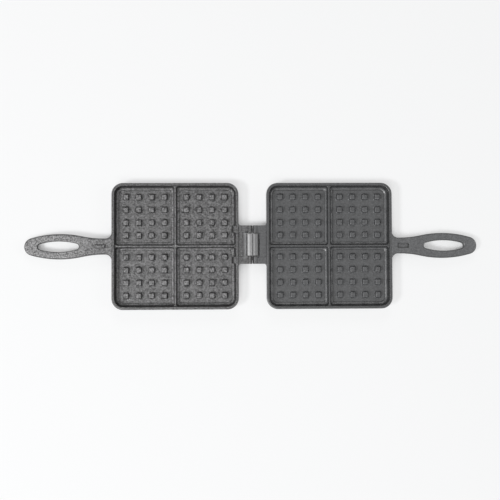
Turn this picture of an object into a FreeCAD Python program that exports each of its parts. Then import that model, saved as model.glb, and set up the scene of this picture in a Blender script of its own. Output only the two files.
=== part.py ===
"""Stovetop waffle iron, lying open with both cooking faces up.

Frame: X runs across the hinge to the handles, Y along the hinge, Z up.
The origin is on the rest plane, midway between the two plates.
Every half is built on the +X side, and the left one is mirrored from it.
Lengths are in millimetres, angles in degrees.
"""
import FreeCAD, Part
import math
import os

# Plates
plate_side = 150.0
plate_corner = 13.5
plate_gap = 33.0
half_height = 16.0
side_draft = 0.6
base_thickness = 6.0
base_rounding = 2.5
rim_width = 3.2
rim_rounding = 1.2
rim_inner_rounding = 0.5

# Cooking face: steep walls that run out into concave coves
cove_height = 3.2
cove_bands = 5
wall_slope = 1.4
wall_cove = 3.6
rib_width = 1.7
rib_drop = 3.0
rib_wall_slope = 0.8
rib_cove = 3.2
rib_rounding = 0.35
pocket_corner = 2.6

# Studs, each widening from its top by these steps on every side
studs_per_quadrant_side = 4
stud_rib_gap = 3.65
stud_wall_gap = 3.85
stud_height = 5.2
stud_top_side = 4.6
stud_top_corner = 0.8
stud_shoulder_drop = 0.5
stud_shoulder_step = 0.55
stud_shoulder_corner = 1.1
stud_flare_height = 1.3
stud_taper = 0.6
stud_flare_corner = 1.5
stud_foot_height = 0.45
stud_flare_step = 0.4
stud_foot_corner = 1.9
stud_foot_step = 0.65
stud_base_corner = 2.4

# Handles
handle_length = 103.3
handle_thickness = 7.0
handle_drop = 0.5
handle_rounding = 2.2
neck_width = 18.9
neck_straight = 1.2
root_radius = 7.4
grip_width = 30.0
grip_reach = 61.0
tip_radius = 10.5
slope_reach = 22.0
slope_angle = 4.5
slope_bend_radius = 60.0
handle_embed = 8.0

# Hanging hole in each handle
hole_width = 12.6
hole_root_reach = 38.4
hole_tip_margin = 15.9
hole_end_radius = 3.5
hole_rounding = 1.4

# Locating key on the left neck, and its socket in the right neck
key_length = 12.0
key_width = 4.2
key_height = 2.2
key_rounding = 1.2
key_reach = 13.1
key_clearance = 0.8
key_end_clearance = 0.4

# Hinge
hinge_shift = 1.6
pin_pitch = 6.4
pin_diameter = 2.6
closing_gap = 0.2
knuckle_gap = 0.3
arm_drop = 1.3
arm_width = 8.9
arm_root_drop = 5.0
arm_fillet = 2.6
arm_rounding = 0.5
link_window = 27.8
link_end_gap = 0.8
lobe_wall = 3.1
link_edge_rounding = 0.5
link_bore_clearance = 0.06
pin_end_recess = 0.4
left_web_gap = 3.4
right_web_gap = 0.35
web_thickness = 5.0
web_drop = 0.4
web_rounding = 0.8
slot_relief = 2.3
slot_relief_pin_wall = 1.3
bracket_embed = 3.0

# Pads behind the left arms
pad_depth = 2.7
pad_length = 7.2
pad_taper = 1.2

cut_overrun = 5.0
edge_tolerance = 0.02

# How far a quarter arc's middle lies from its corner, as a share of its radius
arc_bow_share = 1 - math.sqrt(0.5)

# Places that follow from the sizes above
parting_z = half_height
rib_top_z = parting_z - rib_drop
cove_top_z = base_thickness + cove_height
inner_x = plate_gap / 2
outer_x = inner_x + plate_side
plate_x = inner_x + plate_side / 2
wall_reach = rim_width + wall_slope
rib_reach = rib_width / 2 + rib_wall_slope

stud_shoulder_side = stud_top_side + 2 * stud_shoulder_step
stud_flare_side = stud_shoulder_side + 2 * stud_taper
stud_foot_side = stud_flare_side + 2 * stud_flare_step
stud_base_side = stud_foot_side + 2 * stud_foot_step
first_stud = rib_reach + rib_cove + stud_rib_gap + stud_base_side / 2
last_stud = plate_side / 2 - wall_reach - wall_cove - stud_wall_gap - stud_base_side / 2
stud_pitch = (last_stud - first_stud) / (studs_per_quadrant_side - 1)

neck_reach = root_radius + neck_straight
handle_top_z = parting_z - handle_drop
handle_bottom_z = handle_top_z - handle_thickness
hole_length = handle_length - hole_root_reach - hole_tip_margin
hole_center = hole_root_reach + hole_length / 2
key_socket_depth = key_height + key_end_clearance

pin_x = pin_pitch / 2
pin_z = parting_z - (pin_pitch - closing_gap) / 2
knuckle_radius = (pin_pitch - knuckle_gap) / 2
arm_top_z = parting_z - arm_drop
web_top_z = arm_top_z - web_drop
lobe_radius = pin_diameter / 2 + lobe_wall
link_edge_x = pin_x + lobe_radius
link_length = link_window - 2 * link_end_gap

ORIGIN = FreeCAD.Vector(0, 0, 0)
X_AXIS = FreeCAD.Vector(1, 0, 0)
Y_AXIS = FreeCAD.Vector(0, 1, 0)
Z_AXIS = FreeCAD.Vector(0, 0, 1)


def point(x, y, z):
    return FreeCAD.Vector(x, y, z)


def arc(start, middle, end):
    return Part.Arc(start, middle, end).toShape()


def line(start, end):
    return Part.LineSegment(start, end).toShape()


def box(x0, x1, y0, y1, z0, z1):
    return Part.makeBox(x1 - x0, y1 - y0, z1 - z0, point(x0, y0, z0))


def rounded_outline(x0, x1, y0, y1, radii, z):
    """Rectangle with its own radius at each corner, from the lowest x and y round to the left."""
    corners = [(x0, y0, 1, 1), (x1, y0, -1, 1), (x1, y1, -1, -1), (x0, y1, 1, -1)]
    ends = []
    for index, ((x, y, inward_x, inward_y), radius) in enumerate(zip(corners, radii)):
        along_x = point(x + inward_x * radius, y, z)
        along_y = point(x, y + inward_y * radius, z)
        bow = radius * arc_bow_share
        middle = point(x + inward_x * bow, y + inward_y * bow, z)
        entry, leave = (along_y, along_x) if index % 2 == 0 else (along_x, along_y)
        ends.append((entry, middle, leave))
    edges = []
    for index, (entry, middle, leave) in enumerate(ends):
        following = ends[(index + 1) % len(ends)][0]
        edges.append(arc(entry, middle, leave))
        edges.append(line(leave, following))
    return Part.Wire(edges)


def square_outline(center_x, center_y, side, radius, z):
    half = side / 2
    return rounded_outline(center_x - half, center_x + half, center_y - half, center_y + half,
                           [radius] * 4, z)


def loft(outlines):
    return Part.makeLoft(outlines, True, True)


def prism(edges, direction):
    return Part.Face(Part.Wire(edges)).extrude(direction)


def edges_at_height(shape, z):
    return [edge for edge in shape.Edges
            if abs(edge.BoundBox.ZMin - z) < edge_tolerance and abs(edge.BoundBox.ZMax - z) < edge_tolerance]


def reach_from_middle(edge):
    """Farthest that an edge lies from the middle of the plate, along X or Y."""
    bounds = edge.BoundBox
    return max(abs(bounds.XMin - plate_x), abs(bounds.XMax - plate_x), abs(bounds.YMin), abs(bounds.YMax))


def plate_block():
    """Outside of one plate, solid, with its rounded bottom edge and rim edge."""
    foot = square_outline(plate_x, 0, plate_side - 2 * side_draft, plate_corner - side_draft, 0)
    top = square_outline(plate_x, 0, plate_side, plate_corner, parting_z)
    block = loft([foot, top])
    block = block.makeFillet(base_rounding, edges_at_height(block, 0))
    return block.makeFillet(rim_rounding, edges_at_height(block, parting_z))


def cove_run(z):
    """How far a cove has run out from its wall at height z, as a share of its whole width."""
    fall = (cove_top_z - z) / cove_height
    return 1 - math.sqrt(1 - min(fall, 1) ** 2)


def wall_setback(z):
    """Distance from the plate's side in to the cavity wall at height z."""
    if z >= cove_top_z:
        return rim_width + wall_slope * (parting_z - z) / (parting_z - cove_top_z)
    return wall_reach + wall_cove * cove_run(z)


def rib_setback(z):
    """Distance from the middle of a rib out to its wall at height z."""
    if z >= cove_top_z:
        return rib_width / 2 + rib_wall_slope * (rib_top_z - z) / (rib_top_z - cove_top_z)
    return rib_reach + rib_cove * cove_run(z)


def cove_heights():
    """Heights of the bands that make up a cove, from the floor of the pocket to the wall."""
    turns = [math.radians(90) * index / cove_bands for index in range(cove_bands, 0, -1)]
    return [cove_top_z - cove_height * math.sin(turn) for turn in turns] + [cove_top_z]


def quadrant_pocket(side_x, side_y):
    """One of the four pockets between the rim and the two ribs."""
    sections = []
    for z in cove_heights() + [rib_top_z]:
        near = rib_setback(z)
        far = plate_side / 2 - wall_setback(z)
        outer_radius = plate_corner - wall_setback(z)
        radii = [pocket_corner] * 4
        corner_index = {(-1, -1): 0, (1, -1): 1, (1, 1): 2, (-1, 1): 3}[(side_x, side_y)]
        radii[corner_index] = outer_radius
        xs = sorted((plate_x + side_x * near, plate_x + side_x * far))
        ys = sorted((side_y * near, side_y * far))
        sections.append(rounded_outline(xs[0], xs[1], ys[0], ys[1], radii, z))
    return loft(sections)


def mouth_pocket():
    """The shallow space above the ribs, inside the rim."""
    sections = []
    for z in (rib_top_z, parting_z):
        setback = wall_setback(z)
        sections.append(square_outline(plate_x, 0, plate_side - 2 * setback, plate_corner - setback, z))
    return loft(sections)


def plate_base():
    block = plate_block()
    keep = box(0, outer_x + cut_overrun, -plate_side, plate_side, 0, base_thickness)
    return block.common(keep)


def plate_walls():
    """Rim, cavity walls and the two crossing ribs, standing on the base."""
    block = plate_block()
    keep = box(0, outer_x + cut_overrun, -plate_side, plate_side, base_thickness, parting_z)
    walls = block.common(keep)
    pockets = [quadrant_pocket(side_x, side_y) for side_x in (-1, 1) for side_y in (-1, 1)]
    walls = walls.cut([mouth_pocket()] + pockets)
    mouth = [edge for edge in edges_at_height(walls, parting_z)
             if reach_from_middle(edge) < plate_side / 2 - rim_width + edge_tolerance]
    walls = walls.makeFillet(rim_inner_rounding, mouth)
    return walls.makeFillet(rib_rounding, edges_at_height(walls, rib_top_z))


def rib_space():
    """Cross-shaped space that holds the ribs with their coves, up to the foot of the rim's own cove."""
    length = plate_side / 2 - wall_reach - wall_cove
    width = rib_reach + rib_cove + pocket_corner
    along_x = box(plate_x - length, plate_x + length, -width, width, base_thickness, parting_z)
    along_y = box(plate_x - width, plate_x + width, -length, length, base_thickness, parting_z)
    return along_x.fuse(along_y)


def arm_centers():
    offset = (link_window + arm_width) / 2
    return (hinge_shift - offset, hinge_shift + offset)


def rim_pads():
    """Thicker stretches of the hinge-side rim, one behind each arm."""
    wall_x = inner_x + rim_width
    foot_x = inner_x + wall_setback(base_thickness)
    pads = []
    for center in arm_centers():
        half = pad_length / 2
        sections = []
        for z in (base_thickness, parting_z):
            reach = wall_x + pad_depth if z == parting_z else foot_x
            start = wall_x - rim_width / 2
            corners = [point(start, center - half - pad_taper, z),
                       point(reach, center - half, z),
                       point(reach, center + half, z),
                       point(start, center + half + pad_taper, z)]
            sections.append(Part.makePolygon(corners + corners[:1]))
        pads.append(loft(sections))
    return pads


def stud(center_x, center_y):
    base_z = base_thickness
    top_z = base_z + stud_height
    sections = [
        (stud_base_side, stud_base_corner, base_z),
        (stud_foot_side, stud_foot_corner, base_z + stud_foot_height),
        (stud_flare_side, stud_flare_corner, base_z + stud_flare_height),
        (stud_shoulder_side, stud_shoulder_corner, top_z - stud_shoulder_drop),
        (stud_top_side, stud_top_corner, top_z),
    ]
    return loft([square_outline(center_x, center_y, side, radius, z) for side, radius, z in sections])


def stud_offsets():
    """Places of the studs along one axis, from the middle of the plate."""
    near_to_far = [first_stud + index * stud_pitch for index in range(studs_per_quadrant_side)]
    return [-offset for offset in reversed(near_to_far)] + near_to_far


def stud_field():
    offsets = stud_offsets()
    return Part.makeCompound([stud(plate_x + x, y) for x in offsets for y in offsets])


def handle_outline():
    """Outline of the handle from above: root flare, waist, widest place and round tip."""
    neck = neck_width / 2
    grip = grip_width / 2
    run = (grip_reach - neck_reach) / 2
    rise = (grip - neck) / 2
    waist_radius = (run ** 2 + rise ** 2) / (2 * rise)
    tip_center = handle_length - tip_radius
    reach = tip_center - grip_reach
    end_radius = (reach ** 2 + grip ** 2 - tip_radius ** 2) / (2 * (grip - tip_radius))
    joint_angle = math.atan2(end_radius - grip, reach)
    bow = root_radius * arc_bow_share

    def rise_at(distance, radius):
        return radius - math.sqrt(radius ** 2 - distance ** 2)

    upper = [
        (0, neck + root_radius),
        (bow, neck + bow),
        (root_radius, neck),
        (neck_reach, neck),
        (neck_reach + run / 2, neck + rise_at(run / 2, waist_radius)),
        (neck_reach + run, neck + rise),
        (grip_reach - run / 2, grip - rise_at(run / 2, waist_radius)),
        (grip_reach, grip),
        (grip_reach + reach / 2, grip - rise_at(reach / 2, end_radius)),
        (tip_center + tip_radius * math.cos(joint_angle), tip_radius * math.sin(joint_angle)),
    ]
    z = 0
    top = [point(outer_x + x, y, z) for x, y in upper]
    low = [point(outer_x + x, -y, z) for x, y in upper]
    tip = point(outer_x + handle_length, 0, z)
    embed_top = point(outer_x - handle_embed, neck + root_radius, z)
    embed_low = point(outer_x - handle_embed, -neck - root_radius, z)
    edges = [line(embed_low, embed_top), line(embed_top, top[0])]
    edges += [arc(top[0], top[1], top[2]), line(top[2], top[3]), arc(top[3], top[4], top[5]),
              arc(top[5], top[6], top[7]), arc(top[7], top[8], top[9])]
    edges.append(arc(top[9], tip, low[9]))
    edges += [arc(low[9], low[8], low[7]), arc(low[7], low[6], low[5]), arc(low[5], low[4], low[3]),
              line(low[3], low[2]), arc(low[2], low[1], low[0]), line(low[0], embed_low)]
    return edges


def handle_side_profile():
    """Handle from the side: level neck, then a gentle bend and a grip that falls away."""
    angle = math.radians(slope_angle)
    bend_x = outer_x + slope_reach
    straight = handle_length - slope_reach + cut_overrun
    inner_radius = slope_bend_radius
    outer_radius = slope_bend_radius + handle_thickness
    center_z = handle_bottom_z - inner_radius
    start_x = outer_x - handle_embed - cut_overrun

    def on_arc(radius, turn):
        return point(bend_x + radius * math.sin(turn), 0, center_z + radius * math.cos(turn))

    slide = point(straight * math.cos(angle), 0, -straight * math.sin(angle))
    top_start = point(start_x, 0, handle_top_z)
    low_start = point(start_x, 0, handle_bottom_z)
    top_end = on_arc(outer_radius, angle) + slide
    low_end = on_arc(inner_radius, angle) + slide
    edges = [line(low_start, top_start), line(top_start, on_arc(outer_radius, 0)),
             arc(on_arc(outer_radius, 0), on_arc(outer_radius, angle / 2), on_arc(outer_radius, angle)),
             line(on_arc(outer_radius, angle), top_end), line(top_end, low_end),
             line(low_end, on_arc(inner_radius, angle)),
             arc(on_arc(inner_radius, angle), on_arc(inner_radius, angle / 2), on_arc(inner_radius, 0)),
             line(on_arc(inner_radius, 0), low_start)]
    return edges


def hole_outline():
    """Long loop hole: two wide arcs closed by two small ones."""
    half_length = hole_length / 2
    half_width = hole_width / 2
    end_reach = half_length - hole_end_radius
    side_radius = ((end_reach ** 2 + half_width ** 2 - hole_end_radius ** 2)
                   / (2 * (half_width - hole_end_radius)))
    tangent_angle = math.atan2(side_radius - half_width, end_reach)
    join_x = end_reach + hole_end_radius * math.cos(tangent_angle)
    join_y = hole_end_radius * math.sin(tangent_angle)
    center = outer_x + hole_center
    z = 0
    corners = [point(center + sx * join_x, sy * join_y, z)
               for sx, sy in ((1, 1), (-1, 1), (-1, -1), (1, -1))]
    return [arc(corners[0], point(center, half_width, z), corners[1]),
            arc(corners[1], point(center - half_length, 0, z), corners[2]),
            arc(corners[2], point(center, -half_width, z), corners[3]),
            arc(corners[3], point(center + half_length, 0, z), corners[0])]


def lifted(edges, z):
    wire = Part.Wire(edges)
    wire.translate(point(0, 0, z))
    return wire.Edges


def skin_edges(shape):
    """Edges between the top or bottom skin of the handle and its sides."""
    found = []
    for edge in shape.Edges:
        bounds = edge.BoundBox
        upright = bounds.ZLength > handle_thickness / 2
        across = bounds.XLength < edge_tolerance
        if bounds.XMax > outer_x and not upright and not across:
            found.append(edge)
    return found


def in_hole(edge):
    bounds = edge.BoundBox
    center = outer_x + hole_center
    return (bounds.XMin > center - hole_length / 2 - edge_tolerance
            and bounds.XMax < center + hole_length / 2 + edge_tolerance
            and max(abs(bounds.YMin), abs(bounds.YMax)) < hole_width / 2 + edge_tolerance)


def handle_body():
    reach = Z_AXIS * (half_height + 2 * cut_overrun)
    plan = prism(lifted(handle_outline(), -cut_overrun), reach)
    side = prism(handle_side_profile(), Y_AXIS * (2 * plate_side))
    side.translate(point(0, -plate_side, 0))
    body = plan.common(side).removeSplitter()
    body = body.makeFillet(handle_rounding, skin_edges(body))
    hole = prism(lifted(hole_outline(), -cut_overrun), reach)
    body = body.cut(hole)
    body = body.makeFillet(hole_rounding, [edge for edge in skin_edges(body) if in_hole(edge)])
    return body.cut(plate_block())


def key_bar():
    """Bar that stands on the neck, with rounded upper edges."""
    center = outer_x + key_reach
    bar = box(center - key_length / 2, center + key_length / 2, -key_width / 2, key_width / 2,
              handle_top_z - key_height, handle_top_z + key_height)
    upper = [edge for edge in bar.Edges if edge.BoundBox.ZMin > handle_top_z]
    return bar.makeFillet(key_rounding, upper)


def key_socket():
    center = outer_x + key_reach
    half_length = key_length / 2 + key_clearance
    half_width = key_width / 2 + key_clearance
    return loft([rounded_outline(center - half_length, center + half_length, -half_width, half_width,
                                 [key_rounding] * 4, z)
                 for z in (handle_top_z - key_socket_depth, handle_top_z + cut_overrun)])


def bracket_profile():
    """Arm or web from the side: flat top, round knuckle about the pin, underside falling to the plate."""
    root_x = inner_x + bracket_embed
    root_z = pin_z - knuckle_radius - arm_root_drop
    flat_end_x = pin_x + math.sqrt(knuckle_radius ** 2 - (arm_top_z - pin_z) ** 2)
    top_root = point(root_x, 0, arm_top_z)
    top_end = point(flat_end_x, 0, arm_top_z)
    end = point(pin_x - knuckle_radius, 0, pin_z)
    low_end = point(pin_x, 0, pin_z - knuckle_radius)
    low_root = point(root_x, 0, root_z)
    return [line(top_root, top_end), arc(top_end, end, low_end), line(low_end, low_root),
            line(low_root, top_root)]


def profile_slab(start_y, width):
    slab = prism(bracket_profile(), Y_AXIS * width)
    slab.translate(point(0, start_y, 0))
    return slab


def arm(center_y):
    body = profile_slab(center_y - arm_width / 2, arm_width)
    sides = [edge for edge in body.Edges
             if edge.BoundBox.YLength < edge_tolerance and edge.BoundBox.XMin < inner_x]
    return body.makeFillet(arm_rounding, sides)


def web(edge_x):
    """Solid stretch between the arms, cut off short of the link."""
    inner = link_window / 2
    body = profile_slab(hinge_shift - inner, link_window)
    keep = box(edge_x, inner_x + bracket_embed, hinge_shift - inner, hinge_shift + inner,
               web_top_z - web_thickness, web_top_z)
    body = body.common(keep)
    lip = [edge for edge in edges_at_height(body, web_top_z) if edge.BoundBox.XMax < edge_x + edge_tolerance]
    return body.makeFillet(web_rounding, lip)


def slot_end(edge_x):
    """Cut that carries the slot between web and link a little way into the front arm."""
    start_x = pin_x + pin_diameter / 2 + slot_relief_pin_wall
    front_y = hinge_shift - link_window / 2
    return box(start_x, edge_x, front_y - slot_relief, front_y + edge_tolerance, 0, parting_z)


def root_flare(side_y):
    """Concave corner where an arm's outer side meets the plate."""
    foot = hinge_shift + side_y * (link_window / 2 + arm_width)
    top = foot + side_y * arm_fillet
    back_x = inner_x + bracket_embed
    bow = arm_fillet * arc_bow_share
    edges = [arc(point(inner_x - arm_fillet, foot, 0), point(inner_x - bow, foot + side_y * bow, 0),
                 point(inner_x, top, 0)),
             line(point(inner_x, top, 0), point(back_x, top, 0)),
             line(point(back_x, top, 0), point(back_x, foot - side_y * arm_fillet, 0)),
             line(point(back_x, foot - side_y * arm_fillet, 0),
                  point(inner_x - arm_fillet, foot - side_y * arm_fillet, 0)),
             line(point(inner_x - arm_fillet, foot - side_y * arm_fillet, 0),
                  point(inner_x - arm_fillet, foot, 0))]
    plan = prism(edges, Z_AXIS * parting_z)
    return plan.common(profile_slab(foot - arm_fillet, 2 * arm_fillet))


def hinge_bracket(web_gap):
    """Two arms, the web between them and their flared roots, bored for the pin."""
    reach = link_window + 2 * arm_width + 2 * cut_overrun
    edge_x = link_edge_x + web_gap
    low, high = arm_centers()
    bracket = arm(low).fuse([arm(high), web(edge_x), root_flare(-1), root_flare(1)])
    bore = Part.makeCylinder(pin_diameter / 2, reach, point(pin_x, hinge_shift - reach / 2, pin_z), Y_AXIS)
    return bracket.cut([bore, slot_end(edge_x), plate_block()]).removeSplitter()


def hinge_pin():
    length = link_window + 2 * arm_width - 2 * pin_end_recess
    return Part.makeCylinder(pin_diameter / 2, length, point(pin_x, hinge_shift - length / 2, pin_z), Y_AXIS)


def hinge_link():
    """Double barrel that joins the two pins."""
    start_y = hinge_shift - link_length / 2
    lobes = []
    bores = []
    for x in (-pin_x, pin_x):
        lobe = Part.makeCylinder(lobe_radius, link_length, point(x, start_y, pin_z), Y_AXIS)
        ends = [edge for edge in lobe.Edges if edge.BoundBox.YLength < link_edge_rounding]
        lobes.append(lobe.makeFillet(link_edge_rounding, ends))
        radius = pin_diameter / 2 + link_bore_clearance
        bores.append(Part.makeCylinder(radius, link_length, point(x, start_y, pin_z), Y_AXIS))
    return lobes[0].fuse(lobes[1]).cut(bores)


def mirrored(shape):
    return shape.mirror(ORIGIN, X_AXIS)


def all_nodes():
    """Every piece by name: the right half as built, the left half mirrored, and the link."""
    base = plate_base()
    walls = plate_walls()
    rim = walls.cut(rib_space())
    ribs = walls.common(rib_space())
    studs = stud_field()
    handle = handle_body()
    left_rim = rim.fuse(rim_pads())
    return {
        "right_plate_base": base,
        "right_plate_rim": rim,
        "right_plate_ribs": ribs,
        "right_plate_studs": studs,
        "right_handle": handle.cut(key_socket()),
        "right_hinge_bracket": hinge_bracket(right_web_gap),
        "right_hinge_pin": hinge_pin(),
        "left_plate_base": mirrored(base),
        "left_plate_rim": mirrored(left_rim),
        "left_plate_ribs": mirrored(ribs),
        "left_plate_studs": mirrored(studs),
        "left_handle": mirrored(handle.fuse(key_bar())),
        "left_hinge_bracket": mirrored(hinge_bracket(left_web_gap)),
        "left_hinge_pin": mirrored(hinge_pin()),
        "hinge_link": hinge_link(),
    }


def main():
    os.makedirs("parts", exist_ok=True)
    for name, shape in all_nodes().items():
        shape.exportStep("parts/" + name + ".step")
        bounds = shape.BoundBox
        print(name, "solids", len(shape.Solids), "valid", shape.isValid(), "volume", round(shape.Volume),
              "z", round(bounds.ZMin, 3), round(bounds.ZMax, 3))


main()
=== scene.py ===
"""Stovetop waffle iron, open flat on a pale floor, seen from above."""
import math

import bpy
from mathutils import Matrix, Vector

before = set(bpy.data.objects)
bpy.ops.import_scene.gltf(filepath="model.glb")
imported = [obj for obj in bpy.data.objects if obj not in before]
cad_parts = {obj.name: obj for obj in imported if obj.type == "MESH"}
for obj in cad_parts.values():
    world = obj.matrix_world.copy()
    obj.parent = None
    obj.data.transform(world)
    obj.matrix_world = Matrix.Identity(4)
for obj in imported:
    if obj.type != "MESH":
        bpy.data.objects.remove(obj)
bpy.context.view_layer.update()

MM = 0.001
WHITE = (1, 1, 1, 1)

# Camera, fitted to the plates, studs and handles of the photo
CAMERA_PLACE = (-43.7 * MM, -40.0 * MM, 1100.0 * MM)
CAMERA_TURN_DEGREES = (1.866, -2.135, -0.282)
CAMERA_REACH = 20.0
FRAME_PIXELS = 500
FOCAL_PIXELS = 917.1
SENSOR_WIDTH = 36.0

# Lamps: azimuth and elevation in degrees, width in metres, and the brightness each gives a white floor
LAMP_DISTANCE = 3.0
LAMPS = {
    "key_lamp": (203, 48, 0.66, 0.41),
    "high_lamp": (235, 66, 1.20, 0.25),
    "front_lamp": (262, 56, 1.00, 0.08),
    "right_lamp": (0, 40, 1.50, 0.07),
    "back_lamp": (90, 42, 1.50, 0.08),
}
WORLD_STRENGTH = 0.10

# Floor, with sizes in metres. Near the iron a share of it glows plain white, but not close under the iron or
# beside it, where its shadow is left darker
FLOOR_SIZE = 8.0
FLOOR_COLOUR = (0.868, 0.881, 0.892, 1)
FLOOR_ROUGHNESS = 0.9
WHITE_SHARE = 0.65
CONTACT_REACH = 40.0 * MM
CONTACT_RANGE = (0.08, 0.60)
FADE_RANGE = (0.45, 1.3)

# Each casting's pieces: tint, painted highlight on gentle slopes where above 1 and painted shade where below
# 1, painted shade on steep faces, painted shade in crevices
LEFT_IRON = (0.150, 0.149, 0.151)
LEFT_PIECES = {
    "plate_base": (0.71, 1.70, 0.20, 0.10),
    "plate_ribs": (0.80, 1.70, 0.12, 0.30),
    "plate_studs": (0.97, 1.50, 0.05, 0.10),
    "plate_rim": (0.54, 1.70, 0.14, 0.30),
    "handle": (0.89, 0.50, 0.10, 0.08),
    "hinge_bracket": (0.56, 0.50, 0.12, 0.08),
}
RIGHT_IRON = (0.118, 0.120, 0.124)
RIGHT_PIECES = {
    "plate_base": (0.62, 1.50, 0.45, 0.45),
    "plate_ribs": (0.50, 1.90, 0.35, 0.50),
    "plate_studs": (0.60, 2.20, 0.40, 0.45),
    "plate_rim": (0.49, 1.80, 0.35, 0.50),
    "handle": (0.86, 0.60, 0.15, 0.20),
    "hinge_bracket": (0.71, 0.60, 0.15, 0.10),
}

# Each casting's skin: strength of the grain, depth of the pits, roughness, gloss, how much painted light
# brightens the grip
LEFT_SKIN = {"grain": 0.90, "pits": 0.90 * MM, "rough": 0.30, "gloss": 0.5, "grip": 1.34}
RIGHT_SKIN = {"grain": 0.32, "pits": 0.22 * MM, "rough": 0.28, "gloss": 0.6, "grip": 1.00}
IRON_CLOUD_SHADES = (0.94, 1.06)
IRON_ROUGHNESS_SPREAD = 0.05
PIT_STRENGTH = 0.5
GRIT_DEPTH_SHARE = 0.6
EDGE_RADIUS = 0.4 * MM
EDGE_SAMPLES = 6
GRIP_RANGE = (188.0 * MM, 215.0 * MM)
CREVICE_REACH = 3.5 * MM
CREVICE_RANGE = (0.2, 0.9)
HOLLOW_SAMPLES = 8

# Slopes for the painted light and shade are told by how far the surface points up or down: 1 is level and 0
# is upright
GENTLE_RANGE = (0.84, 0.98)
STEEP_RANGE = (0.25, 0.75)

# Steel of the link and the pins: colour, roughness, and painted light and shade on the left and right of the
# hinge's middle
LINK_STEEL = (0.27, 0.27, 0.272)
LINK_ROUGHNESS = (0.37, 0.49)
LINK_PAINTED_SIDES = (0.90, 0.56)
PIN_STEEL = (0.20, 0.20, 0.202)
PIN_ROUGHNESS = (0.40, 0.52)
PIN_PAINTED_SIDES = (1.0, 1.0)
STEEL_CLOUD_SHADES = (0.92, 1.08)
STEEL_METALLIC = 0.8
PAINTED_SIDE_RANGE = (-1.0 * MM, 1.0 * MM)
SCRATCH_STRETCH = (1.0, 0.08, 1.0)
SCRATCH_DEPTH = 0.05 * MM
SCRATCH_STRENGTH = 0.3

# Noises: scale, detail and roughness, with the part of their range that a shade uses
IRON_CLOUDS = (45.0, 4.0, 0.6)
IRON_SPECKLE = (560.0, 3.0, 0.7)
IRON_POLISH = (160.0, 3.0, 0.6)
IRON_PITS = (380.0, 3.0, 0.6)
IRON_GRIT = (900.0, 4.0, 0.75)
STEEL_CLOUDS = (120.0, 4.0, 0.6)
STEEL_POLISH = (420.0, 3.0, 0.6)
STEEL_SCRATCHES = (1500.0, 3.0, 0.6)
NOISE_RANGE = (0.3, 0.7)
SPECKLE_RANGE = (0.36, 0.64)


class Nodes:
    """Short way to add and link the nodes of one material."""

    def __init__(self, name):
        self.material = bpy.data.materials.new(name)
        self.material.use_nodes = True
        self.tree = self.material.node_tree
        self.shader = self.tree.nodes["Principled BSDF"]
        self.place = self.add("ShaderNodeTexCoord").outputs["Object"]

    def add(self, kind, **values):
        node = self.tree.nodes.new(kind)
        for key, value in values.items():
            setattr(node, key, value)
        return node

    def link(self, source, target):
        self.tree.links.new(source, target)

    def noise(self, scale, detail, roughness):
        node = self.add("ShaderNodeTexNoise")
        node.inputs["Scale"].default_value = scale
        node.inputs["Detail"].default_value = detail
        node.inputs["Roughness"].default_value = roughness
        self.link(self.place, node.inputs["Vector"])
        return node.outputs["Fac"]

    def ramp(self, source, span, values):
        """Source turned from the span that it is read over into the span of values."""
        node = self.add("ShaderNodeMapRange")
        node.inputs["From Min"].default_value, node.inputs["From Max"].default_value = span
        node.inputs["To Min"].default_value, node.inputs["To Max"].default_value = values
        self.link(source, node.inputs["Value"])
        return node.outputs["Result"]

    def math(self, operation, first, second=None):
        node = self.add("ShaderNodeMath", operation=operation)
        self.link(first, node.inputs[0])
        if second is not None:
            self.link(second, node.inputs[1])
        return node.outputs[0]

    def multiply(self, first, second):
        return self.math("MULTIPLY", first, second)

    def part(self, vector, axis):
        """One coordinate of a vector."""
        node = self.add("ShaderNodeSeparateXYZ")
        self.link(vector, node.inputs["Vector"])
        return node.outputs[axis]

    def openness(self, reach):
        """1 in the open, down to 0 deep in a hollow or close under something."""
        node = self.add("ShaderNodeAmbientOcclusion", samples=HOLLOW_SAMPLES)
        node.inputs["Distance"].default_value = reach
        return node.outputs["AO"]

    def tint(self, colour, factor):
        """Colour scaled by a factor that varies over the surface."""
        node = self.add("ShaderNodeVectorMath", operation="SCALE")
        node.inputs[0].default_value = colour
        self.link(factor, node.inputs["Scale"])
        return node.outputs["Vector"]

    def painted_slope_light_and_shade(self, gentle, steep):
        """Painted light and shade by slope: 1 on level faces, gentle on slopes, gentle times steep on
        upright faces.
        """
        normal = self.add("ShaderNodeTexCoord").outputs["Normal"]
        level = self.math("ABSOLUTE", self.part(normal, "Z"))
        slope = self.ramp(level, GENTLE_RANGE, (gentle, 1))
        return self.multiply(self.ramp(level, STEEP_RANGE, (steep, 1)), slope)

    def painted_crevice_shade(self, darkest):
        """Painted shade: 1 in the open, down to darkest deep in a crevice."""
        return self.ramp(self.openness(CREVICE_REACH), CREVICE_RANGE, (darkest, 1))

    def painted_grip_light(self, gain):
        """Painted light: 1 up to the neck, rising to gain on the grip."""
        reach = self.math("ABSOLUTE", self.part(self.place, "X"))
        return self.ramp(reach, GRIP_RANGE, (1, gain))

    def bump(self, height, distance, strength, normal=None):
        node = self.add("ShaderNodeBump")
        node.inputs["Distance"].default_value = distance
        node.inputs["Strength"].default_value = strength
        self.link(height, node.inputs["Height"])
        if normal is not None:
            self.link(normal, node.inputs["Normal"])
        return node.outputs["Normal"]


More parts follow.
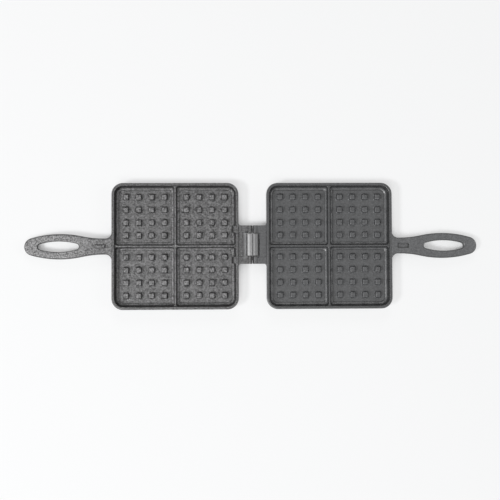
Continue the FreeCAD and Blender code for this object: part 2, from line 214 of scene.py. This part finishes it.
def cast_iron(name, colour, skin, gentle, steep, crevice):
    """Sand-cast iron: fine grain, cloudy seasoning, painted light and shade by slope, painted shade in
    crevices.
    """
    nodes = Nodes(name)
    clouds = nodes.ramp(nodes.noise(*IRON_CLOUDS), NOISE_RANGE, IRON_CLOUD_SHADES)
    speckle = nodes.ramp(nodes.noise(*IRON_SPECKLE), SPECKLE_RANGE, (1 - skin["grain"], 1 + skin["grain"]))
    # Painted light and shade: gentle slopes lighter or darker by piece, steep faces and crevices darker
    shade = nodes.multiply(nodes.painted_slope_light_and_shade(gentle, steep), nodes.painted_crevice_shade(crevice))
    # Painted light on the grip, on top of the painted light and shade above
    painted_shading = nodes.multiply(shade, nodes.painted_grip_light(skin["grip"]))
    factor = nodes.multiply(nodes.multiply(clouds, speckle), painted_shading)
    nodes.link(nodes.tint(colour, factor), nodes.shader.inputs["Base Color"])
    roughness = (skin["rough"] - IRON_ROUGHNESS_SPREAD, skin["rough"] + IRON_ROUGHNESS_SPREAD)
    polish = nodes.ramp(nodes.noise(*IRON_POLISH), NOISE_RANGE, roughness)
    nodes.link(polish, nodes.shader.inputs["Roughness"])
    edges = nodes.add("ShaderNodeBevel", samples=EDGE_SAMPLES)
    edges.inputs["Radius"].default_value = EDGE_RADIUS
    pits = nodes.bump(nodes.noise(*IRON_PITS), skin["pits"], PIT_STRENGTH, edges.outputs["Normal"])
    grit = nodes.bump(nodes.noise(*IRON_GRIT), GRIT_DEPTH_SHARE * skin["pits"], PIT_STRENGTH, pits)
    nodes.link(grit, nodes.shader.inputs["Normal"])
    nodes.shader.inputs["Specular IOR Level"].default_value = skin["gloss"]
    return nodes.material


def steel_with_painted_sides(name, colour, roughness, painted_sides):
    """Smooth dull steel with faint scratches along the hinge, and painted light that makes one side of its
    middle lighter than the other.
    """
    nodes = Nodes(name)
    clouds = nodes.ramp(nodes.noise(*STEEL_CLOUDS), NOISE_RANGE, STEEL_CLOUD_SHADES)
    # Painted light and shade: one side of the hinge's middle lighter than the other
    shade = nodes.ramp(nodes.part(nodes.place, "X"), PAINTED_SIDE_RANGE, painted_sides)
    nodes.link(nodes.tint(colour, nodes.multiply(clouds, shade)), nodes.shader.inputs["Base Color"])
    polish = nodes.ramp(nodes.noise(*STEEL_POLISH), NOISE_RANGE, roughness)
    nodes.link(polish, nodes.shader.inputs["Roughness"])
    stretch = nodes.add("ShaderNodeMapping")
    stretch.inputs["Scale"].default_value = SCRATCH_STRETCH
    nodes.link(nodes.place, stretch.inputs["Vector"])
    nodes.place = stretch.outputs["Vector"]
    scratches = nodes.bump(nodes.noise(*STEEL_SCRATCHES), SCRATCH_DEPTH, SCRATCH_STRENGTH)
    nodes.link(scratches, nodes.shader.inputs["Normal"])
    nodes.shader.inputs["Metallic"].default_value = STEEL_METALLIC
    return nodes.material


def dress(node, material):
    """Give a node of the frame its material."""
    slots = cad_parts[node].data.materials
    slots.clear()
    slots.append(material)


def dress_castings():
    for side, colour, skin, pieces in (("left_", LEFT_IRON, LEFT_SKIN, LEFT_PIECES),
                                       ("right_", RIGHT_IRON, RIGHT_SKIN, RIGHT_PIECES)):
        for piece, (tint, gentle, steep, crevice) in pieces.items():
            tinted = [channel * tint for channel in colour]
            dress(side + piece, cast_iron(side + "iron_" + piece, tinted, skin, gentle, steep, crevice))


def dress_hinge():
    dress("hinge_link", steel_with_painted_sides("link_steel", LINK_STEEL, LINK_ROUGHNESS, LINK_PAINTED_SIDES))
    pin_steel = steel_with_painted_sides("pin_steel", PIN_STEEL, PIN_ROUGHNESS, PIN_PAINTED_SIDES)
    dress("left_hinge_pin", pin_steel)
    dress("right_hinge_pin", pin_steel)


def seen_ray(tree):
    """1 for a ray that the camera sees, straight, mirrored or through glass, and 0 for one that lights."""
    rays = tree.nodes.new("ShaderNodeLightPath").outputs
    seen = rays["Is Camera Ray"]
    for kind in ("Is Glossy Ray", "Is Transmission Ray"):
        either = tree.nodes.new("ShaderNodeMath")
        either.operation = "MAXIMUM"
        tree.links.new(seen, either.inputs[0])
        tree.links.new(rays[kind], either.inputs[1])
        seen = either.outputs[0]
    return seen


def plain_floor():
    """Floor that keeps the shadows, and is plain white in part near the iron and in full far from it."""
    nodes = Nodes("pale_floor")
    nodes.shader.inputs["Base Color"].default_value = FLOOR_COLOUR
    nodes.shader.inputs["Roughness"].default_value = FLOOR_ROUGHNESS
    nodes.shader.inputs["Specular IOR Level"].default_value = 0
    # The white glow is cut where the iron is close over the floor or beside it, so its shadow stays darker
    # there
    near = nodes.ramp(nodes.openness(CONTACT_REACH), CONTACT_RANGE, (0, WHITE_SHARE))
    away = nodes.add("ShaderNodeVectorMath", operation="LENGTH")
    nodes.link(nodes.place, away.inputs[0])
    far = nodes.ramp(away.outputs["Value"], FADE_RANGE, (0, 1))
    share = nodes.multiply(seen_ray(nodes.tree), nodes.math("MAXIMUM", far, near))
    mix = nodes.add("ShaderNodeMixShader")
    nodes.link(share, mix.inputs["Fac"])
    nodes.link(nodes.shader.outputs["BSDF"], mix.inputs[1])
    nodes.link(nodes.add("ShaderNodeEmission").outputs["Emission"], mix.inputs[2])
    nodes.link(mix.outputs["Shader"], nodes.tree.nodes["Material Output"].inputs["Surface"])
    bpy.ops.mesh.primitive_plane_add(size=FLOOR_SIZE)
    floor = bpy.context.object
    floor.name = "floor"
    floor.data.materials.append(nodes.material)


def lamp(name, azimuth, elevation, size, level):
    """Disk lamp that faces the origin; its power makes a white floor there as bright as level."""
    turn, rise = math.radians(azimuth), math.radians(elevation)
    data = bpy.data.lights.new(name, "AREA")
    data.shape = "DISK"
    data.size = size
    data.energy = level * (math.pi * LAMP_DISTANCE) ** 2 / math.sin(rise)
    made = bpy.data.objects.new(name, data)
    bpy.context.scene.collection.objects.link(made)
    out = Vector((math.cos(turn) * math.cos(rise), math.sin(turn) * math.cos(rise), math.sin(rise)))
    made.location = LAMP_DISTANCE * out
    made.rotation_euler = (-out).to_track_quat("-Z", "Y").to_euler()


def pale_world():
    """World that is white where it is seen, and lights the iron only faintly."""
    world = bpy.data.worlds.new("studio")
    bpy.context.scene.world = world
    world.use_nodes = True
    tree = world.node_tree
    background = tree.nodes["Background"]
    background.inputs["Color"].default_value = WHITE
    strength = tree.nodes.new("ShaderNodeMapRange")
    strength.inputs["To Min"].default_value = WORLD_STRENGTH
    tree.links.new(seen_ray(tree), strength.inputs["Value"])
    tree.links.new(strength.outputs["Result"], background.inputs["Strength"])


def studio():
    for name, (azimuth, elevation, size, level) in LAMPS.items():
        lamp(name, azimuth, elevation, size, level)
    pale_world()
    bpy.context.scene.view_settings.view_transform = "Standard"


def camera():
    data = bpy.data.cameras.new("camera")
    data.sensor_width = SENSOR_WIDTH
    data.lens = SENSOR_WIDTH * FOCAL_PIXELS / FRAME_PIXELS
    data.clip_end = CAMERA_REACH
    made = bpy.data.objects.new("camera", data)
    bpy.context.scene.collection.objects.link(made)
    made.location = CAMERA_PLACE
    made.rotation_euler = [math.radians(angle) for angle in CAMERA_TURN_DEGREES]
    bpy.context.scene.camera = made


dress_castings()
dress_hinge()
plain_floor()
studio()
camera()
